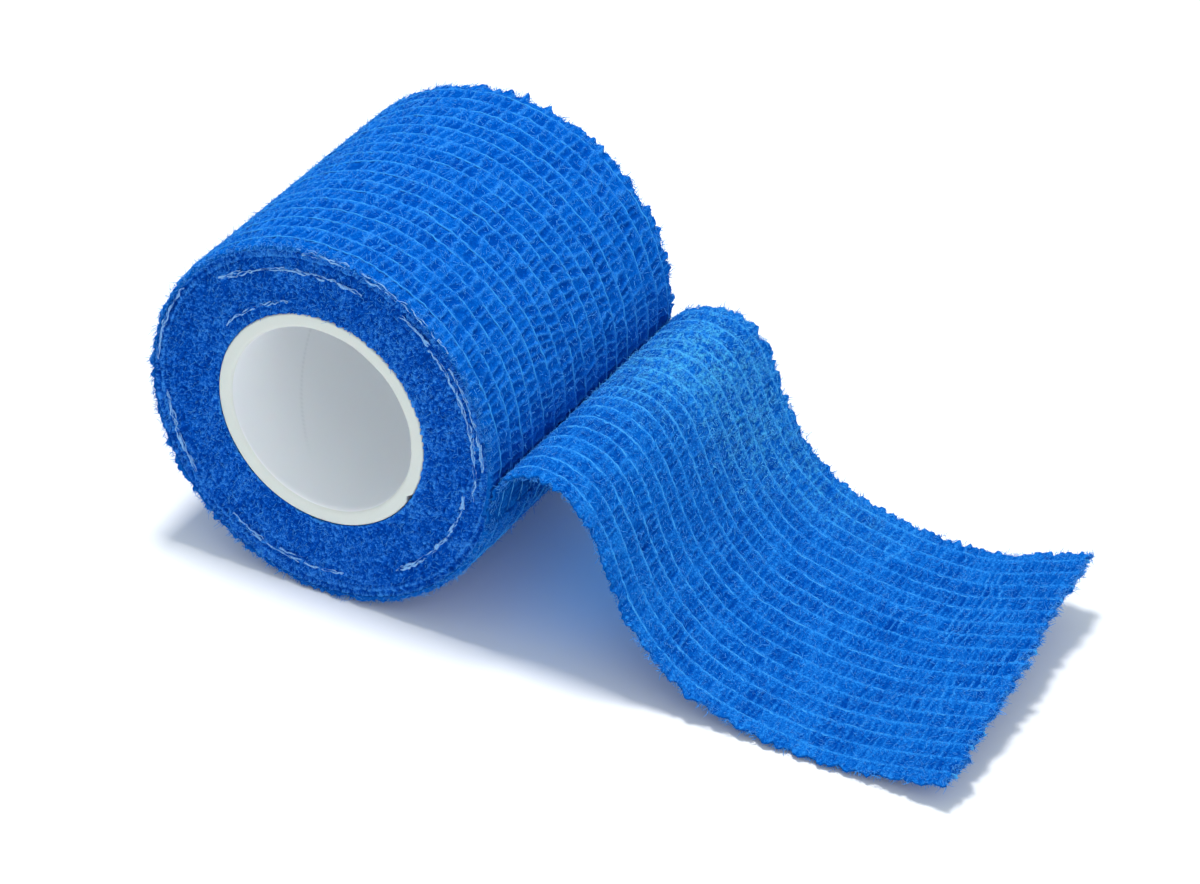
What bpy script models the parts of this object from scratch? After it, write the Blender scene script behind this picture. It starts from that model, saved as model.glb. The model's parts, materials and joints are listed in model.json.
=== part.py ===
"""Self-gripping elastic hand wrap, wound on a plastic core, with its free end pulled off the roll.

The strip is a laminate: two crinkled nonwoven webs with elastic threads running lengthwise between them.
It starts at the core, winds outwards anticlockwise as seen from -Y, leaves the roll at its +X side, goes
over a crest and lies down along +X. The free tail bends at five lines, and each stretch is a rigid piece.

Frame: metres, +Z up. The origin is the middle of the flat patch that the roll stands on, +X runs along
the tail and +Y along the roll's axis.
"""

import math

import bmesh
import bpy
from mathutils import Vector

MM = 0.001

# Driving dimensions
TAPE_WIDTH = 50.0 * MM
ROLL_RADIUS = 27.1 * MM  # where the tail leaves; the roll is a spiral, so it is less elsewhere
CORE_OUTER_RADIUS = 15.87 * MM
CORE_WALL = 2.05 * MM
CORE_LIFT = 0.5 * MM  # the windings sag a little, so the core sits above the roll's middle
RELAXED_THICKNESS = 0.80 * MM  # outermost turn and tail
WOUND_THICKNESS = 0.47 * MM  # under the winding tension
WEB_THICKNESS = 0.22 * MM
TIGHT_TURNS = 15
LOOSE_TURNS = 1
LOOSE_PITCH = 0.86 * MM
THREAD_COUNT = 17
THREAD_PITCH = 2.88 * MM
THREAD_WIDTH = 0.5 * MM
STATION_SPACING = 3.0 * MM  # of the sections along the tail
HINGE_DISTANCES = (0.6 * MM, 14.0 * MM, 27.0 * MM, 45.0 * MM, 66.0 * MM)  # from where the tail leaves the roll
HINGE_GAP = 1.0 * MM
TOUCH_GAP = 0.3 * MM

# Route of the tail's middle surface in XZ, in millimetres: near edge (-Y) and far edge (+Y), peel to cut end.
# It starts after the peel point. The far edge stands higher at the foot, because the strip has a slight twist.
TAIL_ROUTE = (
    # near edge     far edge
    ((27.2, 26.0), (27.1, 25.8)),
    ((29.1, 28.4), (29.1, 27.8)),
    ((32.4, 29.6), (33.0, 29.3)),
    ((36.6, 28.7), (36.8, 29.1)),
    ((39.8, 26.0), (39.9, 27.0)),
    ((42.4, 21.6), (42.3, 22.6)),
    ((44.8, 16.0), (44.7, 17.4)),
    ((48.2, 10.2), (48.2, 12.0)),
    ((54.0, 5.0), (54.0, 7.2)),
    ((62.0, 1.9), (61.6, 4.9)),
    ((70.6, 0.6), (70.0, 3.9)),
    ((79.0, 0.7), (78.0, 4.5)),
    ((86.6, 2.0), (84.8, 6.8)),
    ((93.6, 3.7), (91.0, 9.3)),
)

# Derived values
STEPS = 24  # flats in one turn
STEP_ANGLE = 2 * math.pi / STEPS
HALF_WIDTH = TAPE_WIDTH / 2
FLAT_TO_CORNER = 1 / math.cos(STEP_ANGLE / 2)
WOUND_STEPS = (TIGHT_TURNS + LOOSE_TURNS) * STEPS
LAST_STEP = WOUND_STEPS + STEPS - 1
FIRST_MIDDLE_RADIUS = CORE_OUTER_RADIUS + TOUCH_GAP + 0.13 * MM + WOUND_THICKNESS / 2
LAST_MIDDLE_RADIUS = ROLL_RADIUS - RELAXED_THICKNESS / 2
OUTER_TURN_RADIUS = LAST_MIDDLE_RADIUS - LOOSE_PITCH * (STEPS - 1) / STEPS
TIGHT_PITCH = (OUTER_TURN_RADIUS - LOOSE_PITCH * LOOSE_TURNS - FIRST_MIDDLE_RADIUS) / TIGHT_TURNS
THREAD_THICKNESS = RELAXED_THICKNESS - 2 * WEB_THICKNESS - 0.1 * MM
STEPS_BEFORE_END = 6  # the flat at the bottom starts this many corners before the outermost turn's end
ROLL_CENTRE = Vector((0, 0, ROLL_RADIUS - LOOSE_PITCH * STEPS_BEFORE_END / STEPS))
CORE_CENTRE = ROLL_CENTRE + Vector((0, 0, CORE_LIFT))

COLOURS = {
    "web_outer": ((0.01, 0.20, 0.72, 1), 0.85),
    "web_inner": ((0.01, 0.24, 0.78, 1), 0.85),
    "thread": ((0.20, 0.48, 0.92, 1), 0.6),
    "core": ((0.86, 0.87, 0.86, 1), 0.4),
}


def clear_scene():
    for obj in list(bpy.data.objects):
        bpy.data.objects.remove(obj)


def make_material(name):
    colour, roughness = COLOURS[name]
    material = bpy.data.materials.new(name)
    material.use_nodes = True
    shader = material.node_tree.nodes["Principled BSDF"]
    shader.inputs["Base Color"].default_value = colour
    shader.inputs["Roughness"].default_value = roughness
    shader.inputs["Metallic"].default_value = 0.0
    return material


def place(obj, parent):
    """Parents an object to an empty that isn't turned, keeping the object where it is."""
    obj.parent = parent
    obj.location = obj.location - world_of(parent)


def world_of(empty):
    total = Vector((0, 0, 0))
    while empty is not None:
        total += empty.location
        empty = empty.parent
    return total


def add_object(name, bm, material, parent):
    """Makes an object from a mesh in world coordinates, with its origin on its parent."""
    origin = world_of(parent)
    bmesh.ops.translate(bm, verts=bm.verts, vec=-origin)
    bmesh.ops.recalc_face_normals(bm, faces=bm.faces)
    mesh = bpy.data.meshes.new(name)
    bm.to_mesh(mesh)
    bm.free()
    mesh.materials.append(material)
    obj = bpy.data.objects.new(name, mesh)
    obj.location = origin
    bpy.context.scene.collection.objects.link(obj)
    place(obj, parent)
    return obj


def add_empty(name, location, parent=None):
    empty = bpy.data.objects.new(name, None)
    empty.empty_display_size = 0.01
    empty.location = location
    bpy.context.scene.collection.objects.link(empty)
    if parent is not None:
        place(empty, parent)
    return empty


def loft(stations):
    """A closed solid through four-cornered sections, with both ends capped."""
    bm = bmesh.new()
    rings = [[bm.verts.new(corner) for corner in section] for section in stations]
    bm.faces.new(rings[0])
    bm.faces.new(reversed(rings[-1]))
    for ring, following in zip(rings, rings[1:]):
        for i in range(4):
            j = (i + 1) % 4
            bm.faces.new((ring[i], ring[j], following[j]))
            bm.faces.new((ring[i], following[j], following[i]))
    return bm


# The wound strip


def middle_radius(step):
    """Radius of the strip's middle, counted in flats from the core."""
    tight = min(step, TIGHT_TURNS * STEPS) / STEPS
    loose = max(step - TIGHT_TURNS * STEPS, 0) / STEPS
    return FIRST_MIDDLE_RADIUS + tight * TIGHT_PITCH + loose * LOOSE_PITCH


def winding_corner(step, offset):
    """A corner of the winding in XZ; offset is outwards from the strip's middle. Flats touch the true circle."""
    share = min(step / LAST_STEP, 1)
    centre = CORE_CENTRE.lerp(ROLL_CENTRE, share)
    angle = (step + 0.5) * STEP_ANGLE
    radius = (middle_radius(step) + offset) * FLAT_TO_CORNER
    x = centre.x + radius * math.cos(angle)
    z = centre.z + radius * math.sin(angle)
    return x, max(z, 0.0)


def winding_point(step, offset, y):
    """A point of the winding. Between two corners it lies on the flat."""
    low = math.floor(step)
    share = step - low
    x0, z0 = winding_corner(low, offset)
    if share == 0:
        return Vector((x0, y, z0))
    x1, z1 = winding_corner(low + 1, offset)
    return Vector((x0 + share * (x1 - x0), y, z0 + share * (z1 - z0)))


def winding(first, last, inner, outer, y_near, y_far):
    """Solid of part of the winding, between two offsets from the strip's middle."""
    whole = range(math.floor(first) + 1, math.ceil(last))
    stations = []
    for step in (first, *whole, last):
        stations.append(
            (
                winding_point(step, inner, y_near),
                winding_point(step, inner, y_far),
                winding_point(step, outer, y_far),
                winding_point(step, outer, y_near),
            )
        )
    return loft(stations)


def make_windings(parent, web_outer, web_inner, thread):
    half_touch = TOUCH_GAP / 2 / (OUTER_TURN_RADIUS * STEP_ANGLE)
    half_wound = WOUND_THICKNESS / 2
    wound = winding(0, WOUND_STEPS - half_touch, -half_wound, half_wound, -HALF_WIDTH, HALF_WIDTH)
    add_object("wound_turns", wound, web_inner, parent)

    first = WOUND_STEPS + half_touch
    half = RELAXED_THICKNESS / 2
    outer = winding(first, LAST_STEP, half - WEB_THICKNESS, half, -HALF_WIDTH, HALF_WIDTH)
    add_object("outer_turn_outer_web", outer, web_outer, parent)
    inner = winding(first, LAST_STEP, -half, -half + WEB_THICKNESS, -HALF_WIDTH, HALF_WIDTH)
    add_object("outer_turn_inner_web", inner, web_inner, parent)

    for index in range(THREAD_COUNT):
        y = (index - (THREAD_COUNT - 1) / 2) * THREAD_PITCH
        half_thread = THREAD_THICKNESS / 2
        bm = winding(first, LAST_STEP, -half_thread, half_thread, y - THREAD_WIDTH / 2, y + THREAD_WIDTH / 2)
        add_object(f"elastic_thread_{index + 1:02d}", bm, thread, parent)


# The core


def make_core(parent, material):
    """A turned tube with rounded rims, about Y."""
    sides = 48
    outer = CORE_OUTER_RADIUS
    inner = CORE_OUTER_RADIUS - CORE_WALL
    rounding = 0.6 * MM
    end = HALF_WIDTH
    quarter = rounding * (1 - math.cos(math.pi / 4))
    rim = (
        (outer, end - rounding),
        (outer - quarter, end - quarter),
        (outer - rounding, end),
        (inner + rounding, end),
        (inner + quarter, end - quarter),
        (inner, end - rounding),
    )
    section = list(rim) + [(radius, -y) for radius, y in reversed(rim)]
    bm = bmesh.new()
    rings = []
    for side in range(sides):
        angle = 2 * math.pi * (side + 0.5) / sides
        ring = []
        for radius, y in section:
            x = CORE_CENTRE.x + radius * math.cos(angle)
            z = CORE_CENTRE.z + radius * math.sin(angle)
            ring.append(bm.verts.new((x, y, z)))
        rings.append(ring)
    count = len(section)
    for side, ring in enumerate(rings):
        following = rings[(side + 1) % sides]
        for i in range(count):
            j = (i + 1) % count
            bm.faces.new((ring[i], ring[j], following[j], following[i]))
    core = add_object("core_tube", bm, material, parent)
    core.data.shade_smooth()
    core.data.set_sharp_from_angle(angle=math.radians(35))


# The tail


def route_points():
    """Near and far edge points of the tail's middle surface, from the end of the outermost turn."""
    x, z = winding_corner(LAST_STEP, 0)
    points = [(Vector((x, -HALF_WIDTH, z)), Vector((x, HALF_WIDTH, z)))]
    for near, far in TAIL_ROUTE:
        near_point = Vector((near[0] * MM, -HALF_WIDTH, near[1] * MM))
        far_point = Vector((far[0] * MM, HALF_WIDTH, far[1] * MM))
        points.append((near_point, far_point))
    return points


def smooth_curve(points, per_span):
    """Catmull-Rom curve through points, as a list of points."""
    padded = [points[0] * 2 - points[1], *points, points[-1] * 2 - points[-2]]
    curve = []
    for i in range(len(points) - 1):
        a, b, c, d = padded[i : i + 4]
        for k in range(per_span):
            t = k / per_span
            curve.append(
                0.5
                * (
                    2 * b
                    + (c - a) * t
                    + (2 * a - 5 * b + 4 * c - d) * t**2
                    + (3 * b - a - 3 * c + d) * t**3
                )
            )
    curve.append(points[-1])
    return curve


class Tail:
    """The tail's middle surface: straight lines across the strip, placed by distance along its middle."""

    def __init__(self):
        pairs = route_points()
        self.near = smooth_curve([near for near, _ in pairs], 24)
        self.far = smooth_curve([far for _, far in pairs], 24)
        self.distance = [0.0]
        middles = [(a + b) / 2 for a, b in zip(self.near, self.far)]
        for a, b in zip(middles, middles[1:]):
            self.distance.append(self.distance[-1] + (b - a).length)
        self.length = self.distance[-1]

    def edges(self, distance):
        """Near and far edge point at a distance along the tail."""
        index = 1
        while index < len(self.distance) - 1 and self.distance[index] < distance:
            index += 1
        before, after = self.distance[index - 1], self.distance[index]
        share = (distance - before) / (after - before)
        near = self.near[index - 1].lerp(self.near[index], share)
        far = self.far[index - 1].lerp(self.far[index], share)
        return near, far

    def section(self, distance, low, high):
        """Four corners between two offsets; a positive offset is towards the outer web, the strip's underside."""
        step = 0.2 * MM
        near, far = self.edges(distance)
        near_before, far_before = self.edges(max(distance - step, 0))
        near_after, far_after = self.edges(min(distance + step, self.length))
        across = far - near
        near_out = across.cross(near_after - near_before).normalized()
        far_out = across.cross(far_after - far_before).normalized()
        return (
            near + near_out * low,
            far + far_out * low,
            far + far_out * high,
            near + near_out * high,
        )

    def solid(self, first, last, low, high):
        count = max(3, math.ceil((last - first) / STATION_SPACING))
        stations = []
        for i in range(count + 1):
            stations.append(self.section(first + (last - first) * i / count, low, high))
        return loft(stations)


def make_tail(parent, web_outer, web_inner):
    """Five stretches, each of two webs, chained at the lines where the tail bends."""
    tail = Tail()
    half = RELAXED_THICKNESS / 2
    web = WEB_THICKNESS
    limits = (*HINGE_DISTANCES, tail.length + HINGE_GAP / 2)
    pivot = parent
    for index, start in enumerate(HINGE_DISTANCES):
        number = index + 1
        near, far = tail.edges(start)
        pivot = add_empty(f"tail_{number}_pivot", (near + far) / 2, pivot)
        first = start + HINGE_GAP / 2
        last = limits[number] - HINGE_GAP / 2
        lower = tail.solid(first, last, half - web, half)
        add_object(f"tail_{number}_outer_web", lower, web_outer, pivot)
        upper = tail.solid(first, last, -half, -half + web)
        add_object(f"tail_{number}_inner_web", upper, web_inner, pivot)


def main():
    clear_scene()
    web_outer = make_material("web_outer")
    web_inner = make_material("web_inner")
    thread = make_material("thread")
    core = make_material("core")
    roll = add_empty("roll_frame", Vector((0, 0, 0)))
    core_frame = add_empty("core_frame", CORE_CENTRE, roll)
    make_core(core_frame, core)
    make_windings(roll, web_outer, web_inner, thread)
    make_tail(roll, web_outer, web_inner)


main()
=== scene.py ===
"""Looks of the self-gripping hand wrap: crinkled tape, pale threads, fuzzy edges and a plastic core.

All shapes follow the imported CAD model. Lengths in the geometry code are in millimetres and are turned
into metres where a mesh is made. A place on the strip is (s, y, h): s runs along the strip and is 0
where the outermost turn ends and the free tail starts, y runs across it, and h is the height outwards
from its middle.
"""
import json
import math

import bpy
import numpy as np
from mathutils import Matrix, Vector


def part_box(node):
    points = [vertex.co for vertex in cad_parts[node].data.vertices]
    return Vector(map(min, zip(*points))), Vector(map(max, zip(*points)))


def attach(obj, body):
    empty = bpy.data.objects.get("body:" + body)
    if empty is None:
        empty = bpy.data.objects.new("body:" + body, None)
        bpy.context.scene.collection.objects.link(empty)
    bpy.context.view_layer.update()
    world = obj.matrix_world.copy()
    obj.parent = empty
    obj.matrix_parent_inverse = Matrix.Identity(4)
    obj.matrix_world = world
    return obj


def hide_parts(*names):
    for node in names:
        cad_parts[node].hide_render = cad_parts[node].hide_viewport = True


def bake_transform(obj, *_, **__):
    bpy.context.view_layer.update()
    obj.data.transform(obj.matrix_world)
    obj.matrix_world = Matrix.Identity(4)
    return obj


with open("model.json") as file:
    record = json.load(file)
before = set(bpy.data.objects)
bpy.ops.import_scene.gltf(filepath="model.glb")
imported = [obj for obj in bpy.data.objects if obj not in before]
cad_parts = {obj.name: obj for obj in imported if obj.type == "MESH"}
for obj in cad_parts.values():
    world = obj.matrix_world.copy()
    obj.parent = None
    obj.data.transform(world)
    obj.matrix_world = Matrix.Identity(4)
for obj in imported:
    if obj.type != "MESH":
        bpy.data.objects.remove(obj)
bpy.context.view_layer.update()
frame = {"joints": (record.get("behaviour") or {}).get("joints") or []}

MM = 0.001

# The strip
HALF_WIDTH = 25.0
HALF_THICKNESS = 0.4
TAIL_SHARE = 0.75  # of the half thickness: where the tail's surfaces lie
ROLL_RADIUS = 27.1
THREAD_COUNT = 17
THREAD_PITCH = 2.88
LOOSE_PITCH = 0.86
TIGHT_PITCH = 0.565
PEEL_ANGLE = math.radians(-7.5)
CORE_CLEARANCE = 0.05
PUCKER_SPACING = 1.42
CORE_WALL = 2.05
END_RELIEF = 0.42  # of the roll's ends, for each unit of face_height
TAIL_STRETCHES = 5
WORN_STRETCHES = 3  # the first ones, which carry the pale patch: worn on the crest, painted light further down
FIRST_SEAM = -4.0  # the visible tail starts this far back on the roll
ROUTE_STEPS = 40  # for each span of the tail's route
ROLL_BACK_STEP = 4  # front points for each back point, each way
TAIL_BACK_STEP = 2
FLOOR_CLEARANCE = 0.15  # fibres rooted lower than this are left out
LONGEST_REACH = 6.0  # of a bend to either side, before REACH_SHARE
REACH_SHARE = 0.9

# Route of the tail's middle surface in XZ, near edge (-Y) and far edge (+Y), as the CAD model has it.
TAIL_ROUTE = (
    # near edge     far edge
    ((27.2, 26.0), (27.1, 25.8)),
    ((29.1, 28.4), (29.1, 27.8)),
    ((32.4, 29.6), (33.0, 29.3)),
    ((36.6, 28.7), (36.8, 29.1)),
    ((39.8, 26.0), (39.9, 27.0)),
    ((42.4, 21.6), (42.3, 22.6)),
    ((44.8, 16.0), (44.7, 17.4)),
    ((48.2, 10.2), (48.2, 12.0)),
    ((54.0, 5.0), (54.0, 7.2)),
    ((62.0, 1.9), (61.6, 4.9)),
    ((70.6, 0.6), (70.0, 3.9)),
    ((79.0, 0.7), (78.0, 4.5)),
    ((86.6, 2.0), (84.8, 6.8)),
    ((93.6, 3.7), (91.0, 9.3)),
)

# Where the wound strip lies, as the CAD model has it
ROLL_CENTRE_Z = 26.885
PEEL_RADIUS = ROLL_RADIUS - HALF_THICKNESS

# Sizes read from the frame
core_low, core_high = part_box("core_tube")
CORE_CENTRE_Z = (core_low.z + core_high.z) / 2 / MM
CORE_RADIUS = (core_high.x - core_low.x) / 2 / MM
HINGES = {j["name"]: j for j in frame["joints"]}


# Random fields


class Noise:
    """Smooth random field over a plane, from -1 to 1, repeating every `size` cells."""

    def __init__(self, seed, size=512):
        self.size = size
        self.grid = np.random.default_rng(seed).random((size, size)) * 2 - 1

    def at(self, u, v):
        u, v = np.broadcast_arrays(np.asarray(u, float), np.asarray(v, float))
        low_u, low_v = np.floor(u).astype(int), np.floor(v).astype(int)
        part_u, part_v = u - low_u, v - low_v
        part_u = part_u * part_u * (3 - 2 * part_u)
        part_v = part_v * part_v * (3 - 2 * part_v)
        n, g = self.size, self.grid
        a = g[low_u % n, low_v % n] * (1 - part_u) + g[(low_u + 1) % n, low_v % n] * part_u
        b = g[low_u % n, (low_v + 1) % n] * (1 - part_u) + g[(low_u + 1) % n, (low_v + 1) % n] * part_u
        return a * (1 - part_v) + b * part_v

    def cell(self, i, j):
        """The same random number for a whole cell, from -1 to 1."""
        return self.grid[np.asarray(i) % self.size, np.asarray(j) % self.size]


slow = Noise(11)
fine = Noise(12)
finer = Noise(13)
per_cell = Noise(14)


# The strip's middle surface


def roll_point(back_turn):
    """XZ of the strip's middle on the outermost turn, back_turn turns before the peel line."""
    angle = PEEL_ANGLE - 2 * math.pi * back_turn
    radius = PEEL_RADIUS - LOOSE_PITCH * back_turn
    return np.stack([radius * np.cos(angle), ROLL_CENTRE_Z + radius * np.sin(angle)], -1)


def smooth_curve(points, per_span):
    """Catmull-Rom curve through points[1:-1]; the first and last only give directions."""
    curve = []
    for a, b, c, d in zip(points, points[1:], points[2:], points[3:]):
        t = (np.arange(per_span) / per_span)[:, None]
        cubic = -a + 3 * b - 3 * c + d
        square = 2 * a - 5 * b + 4 * c - d
        curve.append(0.5 * (2 * b + (c - a) * t + square * t**2 + cubic * t**3))
    curve.append(points[-2][None])
    return np.concatenate(curve)


class Strip:
    """Places points given as (s, y, h) on the outermost turn and the free tail."""

    def __init__(self):
        back = np.linspace(1.02, 0.0, 1600)[:-1]
        on_roll = np.stack([roll_point(b) for b in back])
        edges = []
        for side, y in ((0, -HALF_WIDTH), (1, HALF_WIDTH)):
            route = [np.array(p[side]) for p in TAIL_ROUTE]
            lead = [roll_point(0.0159), roll_point(0.0)]
            follow = [2 * route[-1] - route[-2]]
            tail = smooth_curve(lead + route + follow, ROUTE_STEPS)
            flat = np.concatenate([on_roll, tail])
            edges.append(np.stack([flat[:, 0], np.full(len(flat), y), flat[:, 1]], -1))
        # Past the cut end the surface runs on straight for a little, for loose fibres and threads.
        edges = [np.concatenate([edge, edge[-1:] + (edge[-1:] - edge[-2:-1]) * 8]) for edge in edges]
        self.near, self.far = edges
        middle = (self.near + self.far) / 2
        along = np.concatenate([[0], np.cumsum(np.linalg.norm(np.diff(middle, axis=0), axis=1))])
        self.s = along - along[len(on_roll)]
        self.length = self.s[-2]
        across = self.far - self.near
        self.near_out = self.outward(self.near, across)
        self.far_out = self.outward(self.far, across)

    @staticmethod
    def outward(edge, across):
        out = np.cross(across, np.gradient(edge, axis=0))
        return out / np.linalg.norm(out, axis=1)[:, None]

    def read(self, values, s):
        return np.stack([np.interp(s, self.s, values[:, k]) for k in range(3)], -1)

    def place(self, s, y, h):
        """World points in millimetres. s, y and h are arrays of one shape."""
        share = ((y + HALF_WIDTH) / (2 * HALF_WIDTH))[..., None]
        base = self.read(self.near, s) * (1 - share) + self.read(self.far, s) * share
        share = np.clip(share, 0, 1)
        out = self.read(self.near_out, s) * (1 - share) + self.read(self.far_out, s) * share
        out /= np.linalg.norm(out, axis=-1)[..., None]
        return base + out * h[..., None]


strip = Strip()


# The crinkles


def row_of(y):
    """Which gap between threads a point lies in, and how far across it, from 0 to 1."""
    row = y / THREAD_PITCH + (THREAD_COUNT - 1) / 2
    whole = np.clip(np.floor(row), -1, THREAD_COUNT - 1)
    return whole.astype(int), row - whole


def pits(s, y, seed, spacing):
    """Crosswise folds, laid out row by row between the threads.

    Gives the depth of the pits between the folds, and a line along each fold's top, both from 0 to 1. In
    the colour, the pits carry painted shade and the fold tops a painted highlight.
    """
    row, u = row_of(y)
    edge_row = (row < 0) | (row > THREAD_COUNT - 2)
    u = np.where(edge_row, 0.5, np.clip(u, 0, 1))
    long = s / spacing
    offset = 0.9 * per_cell.cell(row + 40, seed)
    drift = 0.60 * slow.at(long / 2.1, row * 5.3 + seed)
    lean = 0.65 * slow.at(long / 1.4 + 90, row * 7.7 + seed) * (u - 0.5)
    bow = 0.22 * slow.at(long / 1.3 + 190, row * 3.9 + seed) * 4 * u * (1 - u)
    shared = 0.4 * slow.at(s / 11.0 + 300, y / 14 + seed)
    wobble = 0.13 * fine.at(s / 0.5, y / 0.55 + seed * 3)
    phase = long + offset + drift + lean + bow + shared + wobble
    count = np.floor(phase).astype(int)
    t = phase - count
    depth = 0.74 + 0.26 * per_cell.cell(count, row * 3 + seed)
    left = 0.5 + 0.5 * per_cell.cell(count + 7, row * 3 + seed + 90)
    right = 0.5 + 0.5 * per_cell.cell(count + 8, row * 3 + seed + 90)
    lost = np.where(t < 0.5, left, right) ** 2
    along = 1 - np.abs(2 * t - 1) ** 2.4 * (1 - 0.55 * lost)
    over = np.where(edge_row, 0.7, 1 - np.abs(2 * u - 1) ** 4)
    away = np.minimum(t, 1 - t) * spacing
    line = np.exp(-((away / 0.15) ** 2)) * (1 - 0.8 * lost)
    return depth * along * over, line


def clumps(s, y, seed):
    """Fine lumps of fibre, about -1 to 1."""
    broad = fine.at(s / 0.42, y / 0.55 + seed)
    small = finer.at(s / 0.24 + 40, y / 0.27 + seed)
    ridged = 1 - 2 * np.abs(fine.at(s / 0.65 + 200, y / 0.9 + seed + 30))
    return 0.45 * broad + 0.35 * small + 0.2 * ridged


def roll_web(s, y):
    """Tone of the outermost turn's outer side, 0 in the pits and 1 on the folds, and its pale lines. The
    tone paints shade into the pits and light onto the folds.
    """
    pit, line = pits(s, y, 3, PUCKER_SPACING)
    return 1 - pit + 0.22 * clumps(s, y, 3), line


def spot(s, y, at_s, at_y, reach_s, reach_y):
    return np.exp(-(((s - at_s) / reach_s) ** 2) - ((y - at_y) / reach_y) ** 2)


def tail_web(s, y):
    """Tone and pale lines of the tail's web. The tone paints shade into the pits and light onto the folds.

    Its folds are finer than on the roll, and deeper near the cut end.
    """
    small_pit, small_line = pits(s, y, 7, 0.85)
    wide_pit, wide_line = pits(s, y, 19, 1.35)
    patchy = 0.5 + 0.5 * slow.at(s / 5, y / 6 + 60)
    share = np.round(np.clip(0.2 + 0.6 * patchy + 0.3 * spot(s, y, 66, 5, 14, 20), 0, 1) * 2) / 2
    depth = 0.88 + 0.30 * slow.at(s / 3.5 + 60, y / 3.0) + 0.15 * spot(s, y, 66, 5, 14, 20)
    pit = depth * (small_pit * (1 - share) + wide_pit * share)
    line = 0.8 * (small_line * (1 - share) ** 2 + wide_line * share**2)
    return 1 - pit + 0.26 * clumps(s, y, 7), line


def wear_and_light_patch(s, y):
    """Where the tail's top is painted pale: worn on the crest's far half, then, less, painted light down
    the drop and far edge, which lifts the steep tape there.
    """
    patch = spot(s, y, 11, 11, 6.5, 12) + 0.75 * spot(s, y, 24, 15, 11, 10)
    patch = patch + 0.5 * spot(s, y, 40, 21, 12, 5)
    return np.clip(patch, 0, 1)


def wear_and_light(s, y, line):
    """How pale a place on the tail's top is painted, most on its raised lines: worn on the crest, painted
    light down the drop and far edge.
    """
    streak = 0.15 + 0.6 * fine.at(s / 0.4 + 400, y / 0.9) + 0.6 * finer.at(s / 0.25, y / 0.4 + 12)
    raised = 0.8 * line + 0.4 * thread_line(y, 0.16)
    return wear_and_light_patch(s, y) * np.clip(streak + raised, 0, 1)


def thread_line(y, reach=0.24):
    """1 on a thread and 0 away from it."""
    row = y / THREAD_PITCH + (THREAD_COUNT - 1) / 2
    nearest = np.clip(np.round(row), 0, THREAD_COUNT - 1)
    away = np.abs(row - nearest) * THREAD_PITCH
    return np.exp(-((away / reach) ** 2))


def broken_threads(s, y):
    """The pale line over each thread, with weak places, and fading towards the cut end."""
    row = np.round(y / THREAD_PITCH) + 40
    strength = np.clip(0.75 + 0.7 * fine.at(s / 0.7, row * 3.0), 0, 1.2)
    fade = 1 - 0.5 * np.clip((s - 30) / 40, 0, 1)
    return thread_line(y, 0.16) * strength * fade


def ragged(s, y, seed, near, far):
    """How far an edge stands out past the width, in uneven tufts. near and far scale the two edges."""
    side = np.sign(y)
    tuft = 0.55 * slow.at(s / 0.85, side * 31 + seed) + 0.30 * fine.at(s / 0.48, side * 17 + seed)
    frill = 0.12 * finer.at(s / 0.25, side * 7 + seed)
    near_edge = np.clip((np.abs(y) - (HALF_WIDTH - 1.3)) / 1.3, 0, 1) ** 2
    return side * near_edge * np.where(side < 0, near, far) * (tuft + frill + 0.1)


# Meshes


def grid_faces(rows, columns, start, flip):
    i = np.arange(rows - 1)[:, None] * columns + np.arange(columns - 1)[None] + start
    quads = np.stack([i, i + 1, i + columns + 1, i + columns], -1).reshape(-1, 4)
    return quads[:, ::-1] if flip else quads


def make_mesh(name, points, faces, material, attributes=None, smooth=True):
    """An object from points in millimetres and a list of faces of any size.

    The floor presses it flat at z = 0.
    """
    mesh = bpy.data.meshes.new(name)
    points = np.maximum(points, (-math.inf, -math.inf, 0.0))
    mesh.from_pydata((points * MM).tolist(), [], faces)
    for key, values in (attributes or {}).items():
        kind = "FLOAT" if values.ndim == 1 else "FLOAT_VECTOR"
        layer = mesh.attributes.new(key, kind, "POINT")
        layer.data.foreach_set("value" if values.ndim == 1 else "vector", values.astype(np.float32).ravel())
    if smooth:
        mesh.shade_smooth()
    mesh.materials.append(material)
    obj = bpy.data.objects.new(name, mesh)
    bpy.context.scene.collection.objects.link(obj)
    return obj


def border_of(rows, columns):
    """Grid places round the edge of a grid, in order."""
    ring = [(i, 0) for i in range(rows)]
    ring += [(rows - 1, j) for j in range(1, columns)]
    ring += [(i, columns - 1) for i in range(rows - 2, -1, -1)]
    return ring + [(0, j) for j in range(columns - 2, 0, -1)]


def laminate(name, material, s, y, front, back, tones, every):
    """A closed sheet. The back has one point for each `every` points of the front's grid, each way."""
    rows, columns = s.shape
    back_rows, back_columns = (rows - 1) // every + 1, (columns - 1) // every + 1
    count = rows * columns
    faces = grid_faces(rows, columns, 0, True).tolist()
    faces += grid_faces(back_rows, back_columns, count, False).tolist()
    front_ring = [i * columns + j for i, j in border_of(rows, columns)]
    back_ring = [count + i * back_columns + j for i, j in border_of(back_rows, back_columns)]
    front_ring.append(front_ring[0])
    back_ring.append(back_ring[0])
    for k in range(len(back_ring) - 1):
        faces.append(front_ring[k * every : (k + 1) * every + 1] + [back_ring[k + 1], back_ring[k]])
    points = np.concatenate([front.reshape(-1, 3), back.reshape(-1, 3)])
    few_s, few_y = s[::every, ::every], y[::every, ::every]
    flat_s = np.concatenate([s.ravel(), few_s.ravel()])
    flat_y = np.concatenate([y.ravel(), few_y.ravel()])
    side = np.repeat([0.0, 9.0], [s.size, few_s.size])
    attributes = {"place": np.stack([flat_s, flat_y, side], -1)}
    for key, (on_front, on_back) in tones.items():
        attributes[key] = np.concatenate([on_front.ravel(), on_back.ravel()])
    obj = make_mesh(name, points, faces, material, attributes)
    sharpen(obj.data, front_ring)
    sharpen(obj.data, back_ring)
    return obj


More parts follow.
